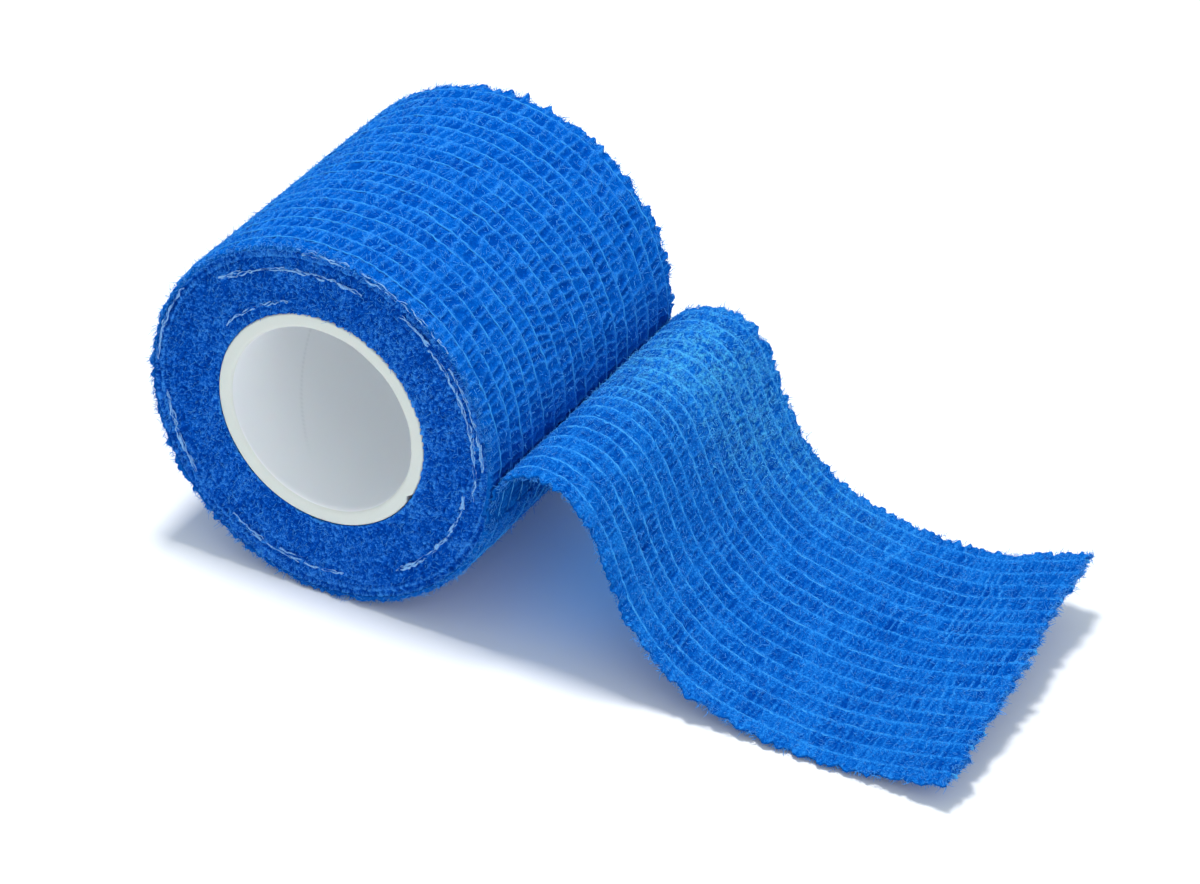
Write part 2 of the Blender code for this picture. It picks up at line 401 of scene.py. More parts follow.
def sharpen(mesh, ring):
    """Keeps a ring of edges crisp, so that neighbouring stretches look like one surface."""
    ends = np.empty(len(mesh.edges) * 2, int)
    mesh.edges.foreach_get("vertices", ends)
    on_ring = np.zeros(len(mesh.vertices), bool)
    on_ring[ring] = True
    if "sharp_edge" not in mesh.attributes:
        mesh.attributes.new("sharp_edge", "BOOLEAN", "EDGE")
    layer = mesh.attributes["sharp_edge"]
    sharp = np.empty(len(mesh.edges), bool)
    layer.data.foreach_get("value", sharp)
    layer.data.foreach_set("value", sharp | on_ring[ends].reshape(-1, 2).all(1))


def tube(path, up, half_width, half_height, sides):
    """Points and faces of a flattened tube along a path, closed at both ends."""
    along = np.gradient(path, axis=0)
    along /= np.linalg.norm(along, axis=1)[:, None]
    side = np.cross(along, up)
    side /= np.linalg.norm(side, axis=1)[:, None]
    turn = 2 * math.pi * (np.arange(sides) + 0.5) / sides
    points = (
        path[:, None]
        + side[:, None] * (half_width[:, None] * np.cos(turn))[..., None]
        + up[:, None] * (half_height[:, None] * np.sin(turn))[..., None]
    ).reshape(-1, 3)
    faces = []
    for i in range(len(path) - 1):
        for k in range(sides):
            a, b = i * sides + k, i * sides + (k + 1) % sides
            faces.append((a, b, b + sides, a + sides))
    faces.append(tuple(range(sides))[::-1])
    faces.append(tuple((len(path) - 1) * sides + k for k in range(sides)))
    return points, faces


def join_parts(parts):
    points, faces, start = [], [], 0
    for part_points, part_faces in parts:
        points.append(part_points)
        faces += [tuple(i + start for i in face) for face in part_faces]
        start += len(part_points)
    return np.concatenate(points), faces


class Fibres:
    """A crowd of short curved fibres, each a thin three-sided tube of two lengths."""

    def __init__(self, seed):
        self.random = np.random.default_rng(seed)
        self.parts = []

    def add(self, root, heading, length, thickness, curl):
        """root and heading are arrays of points and unit directions; length and thickness are (low, high).

        Nothing grows where the tape touches the floor.
        """
        clear = root[:, 2] > FLOOR_CLEARANCE
        root, heading = root[clear], heading[clear]
        count = len(root)
        reach = self.random.uniform(*length, count)[:, None]
        radius = self.random.uniform(*thickness, count)[:, None] / 2
        bend = self.random.normal(size=(count, 3)) * curl
        side = np.cross(heading, self.random.normal(size=(count, 3)))
        side /= np.linalg.norm(side, axis=1)[:, None]
        other = np.cross(heading, side)
        rings = []
        for t, size in ((0.0, 1.0), (0.55, 0.9), (1.0, 0.45)):
            middle = root + reach * (heading * t + bend * t * t)
            for turn in (0.0, 2 * math.pi / 3, 4 * math.pi / 3):
                rings.append(middle + radius * size * (side * math.cos(turn) + other * math.sin(turn)))
        self.parts.append(np.stack(rings, 1))

    def make(self, name, material):
        points = np.concatenate(self.parts)
        start = (np.arange(len(points)) * 9)[:, None]
        quads = []
        for r in (0, 3):
            for k in range(3):
                after = (k + 1) % 3
                quads.append([r + k, r + after, r + 3 + after, r + 3 + k])
        faces = (start[:, None] + np.array(quads)[None]).reshape(-1, 4).tolist()
        faces += (start + np.array([[2, 1, 0]])).tolist() + (start + np.array([[6, 7, 8]])).tolist()
        return make_mesh(name, points.reshape(-1, 3), faces, material, smooth=False)


# Materials


def new_material(name):
    material = bpy.data.materials.new(name)
    material.use_nodes = True
    return material, material.node_tree.nodes, material.node_tree.links


def add_node(nodes, kind, **values):
    node = nodes.new(kind)
    for key, value in values.items():
        setattr(node, key, value)
    return node


def mix_colour(nodes, links, factor, first, second):
    """Blend of two colours; each is a colour or a socket."""
    mix = add_node(nodes, "ShaderNodeMix", data_type="RGBA")
    links.new(factor, mix.inputs["Factor"])
    for key, value in (("A", first), ("B", second)):
        if isinstance(value, tuple):
            mix.inputs[key].default_value = value
        else:
            links.new(value, mix.inputs[key])
    return mix.outputs["Result"]


def add_amount(nodes, links, signal, amount, offset):
    """signal * amount + offset, where offset is a socket."""
    step = add_node(nodes, "ShaderNodeMath", operation="MULTIPLY_ADD")
    step.inputs[1].default_value = amount
    links.new(signal, step.inputs[0])
    links.new(offset, step.inputs[2])
    return step.outputs[0]


def soft_cloth(shader):
    """Loose fibre doesn't shine, and its edges glow a little in its own colour."""
    shader.inputs["Roughness"].default_value = 0.95
    shader.inputs["Specular IOR Level"].default_value = 0.0
    shader.inputs["Sheen Weight"].default_value = 0.08
    shader.inputs["Sheen Roughness"].default_value = 0.6
    shader.inputs["Sheen Tint"].default_value = (0.02, 0.42, 1.0, 1)


def fabric_material(name, pit, base, crest, thread, worn):
    """Crinkled nonwoven: pits painted darker as painted shade, folds painted paler as a painted highlight,
    pale lines over the threads and, as a painted highlight, along the fold tops, and fine fibres.
    """
    material, nodes, links = new_material(name)
    shader = nodes["Principled BSDF"]
    soft_cloth(shader)
    place = add_node(nodes, "ShaderNodeAttribute", attribute_name="place")
    tone = add_node(nodes, "ShaderNodeAttribute", attribute_name="tone")
    line = add_node(nodes, "ShaderNodeAttribute", attribute_name="line")
    wear_and_light_node = add_node(nodes, "ShaderNodeAttribute", attribute_name="wear_and_light")

    fibre = add_node(nodes, "ShaderNodeTexNoise")
    fibre.inputs["Scale"].default_value = 3.4
    fibre.inputs["Detail"].default_value = 5.0
    fibre.inputs["Roughness"].default_value = 0.85
    fibre.inputs["Distortion"].default_value = 0.9
    links.new(place.outputs["Vector"], fibre.inputs["Vector"])
    mottle = add_node(nodes, "ShaderNodeTexNoise")
    mottle.inputs["Scale"].default_value = 0.16
    mottle.inputs["Detail"].default_value = 4.0
    links.new(place.outputs["Vector"], mottle.inputs["Vector"])

    # Both noises are centred on 0.5; the range below takes their middles off again.
    toned = add_amount(nodes, links, fibre.outputs["Fac"], 4.6, tone.outputs["Fac"])
    toned = add_amount(nodes, links, mottle.outputs["Fac"], 0.5, toned)
    level = add_node(nodes, "ShaderNodeMapRange")
    level.inputs["From Min"].default_value = 2.60
    level.inputs["From Max"].default_value = 3.75
    links.new(toned, level.inputs["Value"])
    # From the pit colour, painted shade, through the base to the crest colour, a painted highlight.
    ramp = add_node(nodes, "ShaderNodeValToRGB")
    ramp.color_ramp.elements[0].color = pit
    ramp.color_ramp.elements[1].color = crest
    ramp.color_ramp.elements.new(0.5).color = base
    links.new(level.outputs["Result"], ramp.inputs["Fac"])

    patchy = add_node(nodes, "ShaderNodeMapRange")
    patchy.inputs["From Min"].default_value = 0.38
    patchy.inputs["From Max"].default_value = 0.60
    links.new(fibre.outputs["Fac"], patchy.inputs["Value"])
    broken = add_node(nodes, "ShaderNodeMath", operation="MULTIPLY")
    links.new(line.outputs["Fac"], broken.inputs[0])
    links.new(patchy.outputs["Result"], broken.inputs[1])
    coloured = mix_colour(nodes, links, broken.outputs[0], ramp.outputs["Color"], thread)
    specks = add_node(nodes, "ShaderNodeMapRange")
    specks.inputs["From Min"].default_value = 0.43
    specks.inputs["From Max"].default_value = 0.53
    links.new(fibre.outputs["Fac"], specks.inputs["Value"])
    # Paler specks where the patch lies: worn on the crest, painted light down the drop and far edge.
    wear_and_light_specks = add_node(nodes, "ShaderNodeMath", operation="MULTIPLY")
    links.new(wear_and_light_node.outputs["Fac"], wear_and_light_specks.inputs[0])
    links.new(specks.outputs["Result"], wear_and_light_specks.inputs[1])
    coloured = mix_colour(nodes, links, wear_and_light_specks.outputs[0], coloured, worn)
    links.new(coloured, shader.inputs["Base Color"])

    bump = add_node(nodes, "ShaderNodeBump")
    bump.inputs["Strength"].default_value = 0.7
    bump.inputs["Distance"].default_value = 0.0002
    links.new(fibre.outputs["Fac"], bump.inputs["Height"])
    links.new(bump.outputs["Normal"], shader.inputs["Normal"])
    return material


def strand_material(name, dark, pale, scale):
    """Fibres and threads: one colour, broken by a darker one."""
    material, nodes, links = new_material(name)
    shader = nodes["Principled BSDF"]
    soft_cloth(shader)
    noise = add_node(nodes, "ShaderNodeTexNoise")
    noise.inputs["Scale"].default_value = scale
    noise.inputs["Detail"].default_value = 3.0
    ramp = add_node(nodes, "ShaderNodeValToRGB")
    ramp.color_ramp.elements[0].position = 0.38
    ramp.color_ramp.elements[0].color = dark
    ramp.color_ramp.elements[1].position = 0.60
    ramp.color_ramp.elements[1].color = pale
    links.new(noise.outputs["Fac"], ramp.inputs["Fac"])
    links.new(ramp.outputs["Color"], shader.inputs["Base Color"])
    return material


def core_material():
    material, nodes, links = new_material("core_plastic")
    shader = nodes["Principled BSDF"]
    shader.inputs["Roughness"].default_value = 0.42
    shader.inputs["Subsurface Weight"].default_value = 0.1
    shader.inputs["Subsurface Scale"].default_value = 0.002
    noise = add_node(nodes, "ShaderNodeTexNoise")
    noise.inputs["Scale"].default_value = 240.0
    noise.inputs["Detail"].default_value = 4.0
    ramp = add_node(nodes, "ShaderNodeValToRGB")
    ramp.color_ramp.elements[0].color = (0.64, 0.665, 0.625, 1)
    ramp.color_ramp.elements[1].color = (0.70, 0.72, 0.675, 1)
    links.new(noise.outputs["Fac"], ramp.inputs["Fac"])
    # The bore's wall is painted paler than the rims: painted light that lifts the shaded inside of the
    # tube.
    inside = add_node(nodes, "ShaderNodeAttribute", attribute_name="inside")
    coloured = mix_colour(nodes, links, inside.outputs["Fac"], ramp.outputs["Color"], (0.87, 0.88, 0.90, 1))
    seam = add_node(nodes, "ShaderNodeAttribute", attribute_name="seam")
    coloured = mix_colour(nodes, links, seam.outputs["Fac"], coloured, (0.50, 0.53, 0.56, 1))
    links.new(coloured, shader.inputs["Base Color"])
    bump = add_node(nodes, "ShaderNodeBump")
    bump.inputs["Strength"].default_value = 0.15
    bump.inputs["Distance"].default_value = 0.0001
    links.new(noise.outputs["Fac"], bump.inputs["Height"])
    links.new(bump.outputs["Normal"], shader.inputs["Normal"])
    return material


# Colours, linear
# Pit colours are painted shade and crest colours a painted highlight, here and in the inner and edge
# fabrics below.
SHADED_PIT_BLUE = (0.0, 0.055, 0.36, 1)
BASE_BLUE = (0.0, 0.100, 0.51, 1)
LIT_CREST_BLUE = (0.012, 0.190, 0.70, 1)
LINE_BLUE = (0.05, 0.300, 0.80, 1)
# Pale colour of the patch: worn on the crest, and painted light down the drop and far edge.
WORN_AND_LIT_BLUE = (0.09, 0.52, 0.80, 1)
STRAND_WHITE = (0.36, 0.62, 0.86, 1)

outer_fabric = fabric_material("outer_web", SHADED_PIT_BLUE, BASE_BLUE, LIT_CREST_BLUE, LINE_BLUE, WORN_AND_LIT_BLUE)
inner_fabric = fabric_material(
    "inner_web", (0.0, 0.045, 0.31, 1), (0.0, 0.100, 0.49, 1), (0.018, 0.24, 0.75, 1),
    (0.07, 0.38, 0.86, 1), WORN_AND_LIT_BLUE
)
edge_fabric = fabric_material(
    "wound_edges", (0.0, 0.05, 0.38, 1), (0.002, 0.10, 0.58, 1), (0.05, 0.30, 0.86, 1), LINE_BLUE, WORN_AND_LIT_BLUE
)
roll_thread_finish = strand_material("elastic_thread", (0.004, 0.16, 0.58, 1), (0.07, 0.42, 0.86, 1), 900.0)
tail_thread_finish = strand_material(
    "elastic_thread_tail", (0.01, 0.20, 0.64, 1), (0.10, 0.48, 0.88, 1), 900.0
)
strand_finish = strand_material("edge_strand", (0.06, 0.26, 0.75, 1), STRAND_WHITE, 600.0)
fuzz_finish = strand_material("fuzz", (0.002, 0.12, 0.54, 1), (0.10, 0.40, 0.84, 1), 900.0)
# Pale fibres on the same patch: worn on the crest, painted light further down.
wear_and_light_finish = strand_material("wear_and_light_fibre", (0.02, 0.26, 0.66, 1), (0.16, 0.62, 0.93, 1), 900.0)
plastic = core_material()


# Pieces


def outer_turn():
    """The outermost turn, from under the peel line round to just before it."""
    first, last = strip.s[0] + 0.5, SEAMS[0]
    s_line = np.linspace(first, last, ROLL_BACK_STEP * int((last - first) / 0.8) + 1)
    y_line = np.linspace(-HALF_WIDTH, HALF_WIDTH, 217)
    s, y = np.meshgrid(s_line, y_line, indexing="ij")
    tone, line = roll_web(s, y)
    fall = np.clip((np.abs(y) - (HALF_WIDTH - 1.2)) / 1.2, 0, 1) ** 2
    frill = fall * (0.35 * fine.at(s / 0.7, np.sign(y) * 9) + 0.2 * finer.at(s / 0.3, np.sign(y) * 5))
    out = HALF_THICKNESS + 0.46 * (tone - 0.6) + 0.05 * line + 0.10 * thread_line(y) - 0.3 * fall + frill
    front = strip.place(s, y + ragged(s, y, 3, 0.5, 1.3), out)
    few = (slice(None, None, ROLL_BACK_STEP),) * 2
    back_y = (y + ragged(s, y, 3, 0.3, 0.7))[few]
    back = strip.place(s[few], back_y, np.full(s[few].shape, -HALF_THICKNESS * 0.6))
    none = np.zeros_like(s)
    pale = np.maximum(0.8 * line, 0.65 * broken_threads(s, y))
    tones = {"tone": (tone, none[few] + 0.6), "line": (pale, none[few]), "wear_and_light": (none, none[few])}
    return laminate("outer_turn", outer_fabric, s, y, front, back, tones, ROLL_BACK_STEP)


def tail_surface(s, y):
    """Heights of the tail's outer side (underneath) and inner side (on top), and its tone and lines.

    A fold on one side is a pit on the other.
    """
    tone, line = tail_web(s, y)
    wave = 0.34 * (tone - 0.5) + 0.05 * line
    ridge = 0.06 * thread_line(y)
    fall = np.clip((np.abs(y) - (HALF_WIDTH - 1.0)) / 1.0, 0, 1) ** 2
    frill = fall * (0.25 * fine.at(s / 0.7, np.sign(y) * 19) + 0.15 * finer.at(s / 0.3, np.sign(y) * 15))
    half = HALF_THICKNESS * (TAIL_SHARE - 0.4 * fall)
    return half - wave * 0.6 + ridge + frill, -half - wave - ridge + frill, tone, line


def tail_piece(number):
    """The stretch of tape around one bend, between two seams."""
    first, last = SEAMS[number - 1], SEAMS[number]
    s_line = np.linspace(first, last, TAIL_BACK_STEP * int(round((last - first) * 2.5)) + 1)
    y_line = np.linspace(-HALF_WIDTH, HALF_WIDTH, 229)
    s, y = np.meshgrid(s_line, y_line, indexing="ij")
    outer, inner, tone, line = tail_surface(s, y)
    y_ragged = y + ragged(s, y, 7, 0.8, 0.9)
    s_cut = s + cut_end(s, y)
    few = (slice(None, None, TAIL_BACK_STEP),) * 2
    front = strip.place(s_cut, y_ragged, inner)
    back = strip.place(s_cut[few], y_ragged[few], outer[few])
    none = np.zeros_like(s)
    pale = np.maximum(0.85 * line, 0.5 * broken_threads(s, y))
    under = np.maximum(0.3 * line, 0.5 * broken_threads(s, y))
    # The tone puts painted shade in the pits and a painted highlight on the folds; the last entry paints
    # the crest's worn patch and painted light down the drop.
    tones = {
        "tone": (tone, 1.1 - tone[few]),
        "line": (pale, under[few]),
        "wear_and_light": (wear_and_light(s, y, line), none[few]),
    }
    return laminate(f"tail_{number}_tape", inner_fabric, s, y, front, back, tones, TAIL_BACK_STEP)


def cut_end(s, y):
    """The cut end isn't quite straight: it bulges, wavers and frays."""
    close = np.clip((s - (strip.length - 1.5)) / 1.5, 0, 1) ** 2
    bulge = 0.55 - 0.35 * ((y + 8) / 22) ** 2
    fray = 0.40 * slow.at(y / 1.4, 5) + 0.42 * fine.at(y / 0.6, 9) + 0.25 * finer.at(y / 0.3, 9)
    return close * (bulge + fray)


def thread_path(s_line, y_middle, seed, height):
    wander = 0.16 * slow.at(s_line / 4.5, seed) + 0.10 * slow.at(s_line / 1.6, seed + 7)
    y = y_middle + wander + 0.11 * fine.at(s_line / 0.55, seed)
    path = strip.place(s_line, y, height)
    above = strip.place(s_line, y, height + 1.0)
    return path, above - path


def thread_ys():
    return [(i - (THREAD_COUNT - 1) / 2) * THREAD_PITCH for i in range(THREAD_COUNT)]


def roll_threads():
    """The elastic threads of the outermost turn, one piece each. They dip into the web in places."""
    s_line = np.arange(strip.s[0] + 0.6, SEAMS[0], 0.3)
    for index, y_middle in enumerate(thread_ys()):
        dip = 0.07 * fine.at(s_line / 1.1, index * 3 + 50) + 0.07 * slow.at(s_line / 3.5, index * 3 + 80)
        path, up = thread_path(s_line, y_middle, index * 3 + 1, HALF_THICKNESS + 0.17 + dip)
        width = 0.09 + 0.045 * fine.at(s_line / 0.6, index * 5 + 9)
        points, faces = tube(path, up, width, np.full_like(width, 0.10), 5)
        piece = make_mesh(f"thread_{index + 1:02d}", points, faces, roll_thread_finish)
        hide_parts(f"elastic_thread_{index + 1:02d}")
        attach(piece, "roll")


def tail_threads(number):
    """The same threads in one stretch of the tail. They show on both sides."""
    first, last = SEAMS[number - 1], SEAMS[number]
    parts = []
    for index, y_middle in enumerate(thread_ys()):
        end = last + (0.15 if number < TAIL_STRETCHES else 0.5 + 0.7 * slow.cell(index * 3, 77))
        s_line = np.linspace(first, end, max(3, int((end - first) / 0.25)))
        path, up = thread_path(s_line, y_middle, index * 3 + 1, np.full_like(s_line, -0.10))
        fade = 1 - 0.4 * np.clip((s_line - 30) / 40, 0, 1)
        width = (0.09 + 0.05 * fine.at(s_line / 0.6, index * 5 + 9)) * fade
        tall = HALF_THICKNESS * TAIL_SHARE + 0.15 + 0.08 * fine.at(s_line / 0.9, index * 3 + 50)
        parts.append(tube(path, up, width, tall - 0.22 * (1 - fade), 8))
    points, faces = join_parts(parts)
    return make_mesh(f"tail_{number}_threads", points, faces, tail_thread_finish)


def scatter(random, count, s_range):
    """Random places (s, y) on a stretch of the strip."""
    return random.uniform(*s_range, count), random.uniform(-HALF_WIDTH + 0.3, HALF_WIDTH - 0.3, count)


def lying_fibres(fibres, s, y, side, height, length=(0.4, 1.2)):
    """Loose fibres lying on a side of the tape; side is 1 for the outer side and -1 for the inner one."""
    random = fibres.random
    count = len(s)
    root = strip.place(s, y, side * (height + 0.05 * random.normal(size=count)))
    turn = random.uniform(0, 2 * math.pi, count)
    lift = height + 0.03 + 0.10 * random.random(count)
    tip = strip.place(s + 0.2 * np.cos(turn), y + 0.2 * np.sin(turn), side * lift)
    heading = tip - root
    heading /= np.linalg.norm(heading, axis=1)[:, None]
    fibres.add(root, heading, length, (0.05, 0.09), 0.35)


def edge_fibres(fibres, per_mm, s_range, reach):
    """Fibres standing out of both long edges."""
    random = fibres.random
    for side in (-1, 1):
        count = int(per_mm * (s_range[1] - s_range[0]))
        s = random.uniform(*s_range, count)
        tufts = ragged(s, np.full(count, side * HALF_WIDTH), 3, 0.3, 0.8)
        y = side * (HALF_WIDTH - random.uniform(0.0, 0.9, count)) + tufts
        height = random.uniform(-0.3, 0.45, count)
        root = strip.place(s, y, height)
        tip_s = s + random.normal(size=count) * 0.45
        tip_height = height + random.normal(size=count) * 0.35
        tip = strip.place(tip_s, y + side * 0.6, tip_height)
        heading = tip - root
        heading /= np.linalg.norm(heading, axis=1)[:, None]
        fibres.add(root, heading, reach, (0.06, 0.12), 0.35)


def roll_fuzz():
    fibres = Fibres(21)
    turn = (strip.s[0] + 8, SEAMS[0])
    s, y = scatter(fibres.random, 11000, turn)
    lying_fibres(fibres, s, y, 1, HALF_THICKNESS + 0.18, (0.3, 0.9))
    edge_fibres(fibres, 20, turn, (0.2, 0.75))
    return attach(fibres.make("roll_fuzz", fuzz_finish), "roll")


def tail_fuzz(number):
    fibres = Fibres(30 + number)
    span = (SEAMS[number - 1], SEAMS[number])
    area = (span[1] - span[0]) * 2 * HALF_WIDTH
    s, y = scatter(fibres.random, int(1.8 * area), span)
    lying_fibres(fibres, s, y, -1, HALF_THICKNESS * TAIL_SHARE + 0.14, (0.2, 0.8))
    s, y = scatter(fibres.random, int(0.4 * area), span)
    lying_fibres(fibres, s, y, 1, HALF_THICKNESS * TAIL_SHARE + 0.08)
    edge_fibres(fibres, 20, span, (0.2, 0.7))
    if number == TAIL_STRETCHES:
        random = fibres.random
        count = 2200
        y = random.uniform(-HALF_WIDTH, HALF_WIDTH, count)
        s = strip.length + cut_end(np.full(count, strip.length), y) - random.uniform(0, 0.8, count)
        root = strip.place(s, y, random.uniform(-0.45, 0.3, count))
        tip = strip.place(s + 0.6, y + random.normal(size=count) * 0.5, random.normal(size=count) * 0.3)
        heading = (tip - root) / np.linalg.norm(tip - root, axis=1)[:, None]
        fibres.add(root, heading, (0.2, 0.9), (0.07, 0.14), 0.4)
    return fibres.make(f"tail_{number}_fuzz", fuzz_finish)


def wear_and_light_fibres(number):
    """Pale broken fibres on the pale patch: worn on the crest, and painted light down the drop."""
    fibres = Fibres(60 + number)
    span = (SEAMS[number - 1], SEAMS[number])
    s, y = scatter(fibres.random, int(6 * (span[1] - span[0]) * 2 * HALF_WIDTH), span)
    clumped = 0.55 + 1.1 * fine.at(s / 0.7 + 33, y / 0.7) + 0.6 * thread_line(y, 0.2)
    kept = fibres.random.random(len(s)) < wear_and_light_patch(s, y) * clumped
    lying_fibres(fibres, s[kept], y[kept], -1, HALF_THICKNESS * TAIL_SHARE + 0.22, (0.2, 0.7))
    return fibres.make(f"tail_{number}_worn", wear_and_light_finish)


def layer_depth(angle, radius):
    """How far inside the outermost turn's inner side a place on the roll's end lies, in millimetres."""
    back_turn = 1 - ((angle - PEEL_ANGLE) % (2 * math.pi)) / (2 * math.pi)
    return PEEL_RADIUS - LOOSE_PITCH * back_turn - HALF_THICKNESS * 0.7 - radius


def face_height(angle, radius, end):
    """Height of the roll's end over its lowest parts: a felt of tape edges, split by a few open grooves."""
    x, z = radius * np.cos(angle), radius * np.sin(angle)
    felt = 0.55 * fine.at(x / 0.38 + end * 99, z / 0.38) + 0.45 * finer.at(x / 0.22, z / 0.22 + end * 99)
    swell = 0.22 * slow.at(x / 3.0, z / 3.0 + end * 40)
    depth = layer_depth(angle, radius)
    layers = 0.10 * np.cos(2 * math.pi * depth / TIGHT_PITCH)
    grooves = 0.0
    for at, width, deep in ((0.50, 0.20, 1.1), (1.40, 0.18, 0.8), (3.3, 0.16, 0.7), (6.1, 0.12, 0.35)):
        away = depth - at - 0.12 * slow.at(angle * 7, at * 9 + end)
        here = 0.65 + 0.35 * slow.at(angle * 3 + 50, at * 7 + end * 11)
        grooves = grooves + deep * here * np.exp(-((away / width) ** 2))
    against_core = 0.5 * np.exp(-((radius - CORE_RADIUS) / 0.5) ** 2)
    return felt + swell + layers - grooves + against_core


def wound_turns():
    """All the turns under the outermost one, as a ring whose two ends show the strip's many edges."""
    around, outward = 960, 50
    angle = np.linspace(0, 2 * math.pi, around, endpoint=False)[:, None]
    inner = CORE_RADIUS + CORE_CLEARANCE
    outer = layer_depth(angle, 0.0)
    share = np.linspace(0, 1, outward)[None]
    radius = inner + (outer - inner) * share
    centre_z = CORE_CENTRE_Z + (ROLL_CENTRE_Z - CORE_CENTRE_Z) * share
    points, tones, places = [], [], []
    for end, sign in enumerate((-1, 1)):
        height = face_height(angle, radius, end)
        y = sign * (HALF_WIDTH - 0.25 + END_RELIEF * height)
        x = radius * np.cos(angle)
        z = radius * np.sin(angle)
        points.append(np.stack([x, y, centre_z + z], -1).reshape(-1, 3))
        loose = np.clip(1.6 - layer_depth(angle, radius), 0, 0.4)
        # The tone follows the end's height: painted shade in the grooves and low places, a painted
        # highlight on the high felt, and paler outermost layers.
        tones.append((0.48 + 0.75 * height + loose).ravel())
        places.append(np.stack([x, z, np.full_like(x, 20.0 + end * 5)], -1).reshape(-1, 3))
    count = around * outward
    i = np.arange(around)
    j = (i + 1) % around
    faces = []
    for end in (0, 1):
        for k in range(outward - 1):
            a, b = i * outward + k + end * count, j * outward + k + end * count
            quads = np.stack([a, b, b + 1, a + 1], -1)
            faces += (quads[:, ::-1] if end == 1 else quads).tolist()
    for k, flip in ((0, True), (outward - 1, False)):
        a, b = i * outward + k, j * outward + k
        quads = np.stack([a, b, b + count, a + count], -1)
        faces += (quads if flip else quads[:, ::-1]).tolist()
    tone = np.concatenate(tones)
    none = np.zeros_like(tone)
    attributes = {"place": np.concatenate(places), "tone": tone, "line": none, "wear_and_light": none}
    piece = make_mesh("wound_turns_edges", np.concatenate(points), faces, edge_fabric, attributes)
    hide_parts("wound_turns")
    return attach(piece, "roll")


def face_fuzz():
    """Fibres standing out of both ends of the roll."""
    fibres = Fibres(51)
    random = fibres.random
    for end, sign in enumerate((-1, 1)):
        count = 4200
        angle = random.uniform(0, 2 * math.pi, count)
        radius = np.sqrt(random.uniform((CORE_RADIUS + 0.4) ** 2, (PEEL_RADIUS - 0.6) ** 2, count))
        y = sign * (HALF_WIDTH - 0.3 + END_RELIEF * face_height(angle, radius, end))
        root = np.stack([radius * np.cos(angle), y, ROLL_CENTRE_Z + radius * np.sin(angle)], -1)
        heading = random.normal(size=(count, 3)) * 0.8
        heading[:, 1] += sign * 0.5
        heading /= np.linalg.norm(heading, axis=1)[:, None]
        fibres.add(root, heading, (0.25, 0.75), (0.06, 0.11), 0.5)
    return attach(fibres.make("face_fuzz", fuzz_finish), "roll")


# Pale threads on the roll's ends: radius in millimetres, first and last angle in degrees, thickness.
STRANDS = (
    (22.7, 106, 88, 0.16), (22.8, 86, 74, 0.26), (23.3, 131, 122, 0.18), (24.1, 60, 47, 0.24),
    (23.8, 46, 8, 0.18), (24.8, 12, 2, 0.16), (22.5, -10, -15, 0.30), (22.4, -22, -27, 0.24),
    (22.3, -30, -37, 0.28), (22.6, -46, -56, 0.28), (25.7, 96, 63, 0.14), (25.5, 168, 146, 0.14),
    (24.1, 214, 202, 0.24), (24.0, 201, 187, 0.13), (23.8, 247, 243, 0.26), (22.9, 263, 254, 0.17),
    (23.1, 279, 264, 0.15), (18.0, 143, 106, 0.13), (22.9, 128, 84, 0.12), (26.1, 98, 42, 0.12),
    (24.7, 38, 4, 0.13), (23.6, 28, -10, 0.14), (24.0, 216, 186, 0.12), (25.4, 176, 158, 0.14),
    (23.4, 262, 234, 0.12), (22.5, -12, -58, 0.11),
)


def edge_strands():
    """Pale thread ends and pulled threads lying along the layers on both ends of the roll."""
    parts = []
    for end, sign in enumerate((-1, 1)):
        for index, (at, first, last, thickness) in enumerate(STRANDS):
            turned = end * (40 + 23 * index)
            length = abs(math.radians(first - last)) * at
            steps = max(4, int(length / 0.2))
            angle = np.radians(np.linspace(first, last, steps) + turned)
            along = np.linspace(0, length, steps)
            for ply in range(2):
                key = index * 8 + ply * 4 + end
                radius = at + 0.2 * slow.at(along / 1.3, key) + 0.12 * fine.at(along / 0.5, key)
                radius = radius + 0.13 * ply
                y = sign * (HALF_WIDTH + 0.03 + 0.24 * fine.at(along / 0.9, key + 3))
                path = np.stack([radius * np.cos(angle), y, ROLL_CENTRE_Z + radius * np.sin(angle)], -1)
                up = np.tile([0.0, float(sign), 0.0], (steps, 1))
                width = thickness * 0.6 * np.clip(0.7 + 1.2 * fine.at(along / 0.7, key + 5), 0.1, 1.3)
                parts.append(tube(path, up, width, width * 0.8, 5))
    points, faces = join_parts(parts)
    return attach(make_mesh("edge_strands", points, faces, strand_finish), "roll")


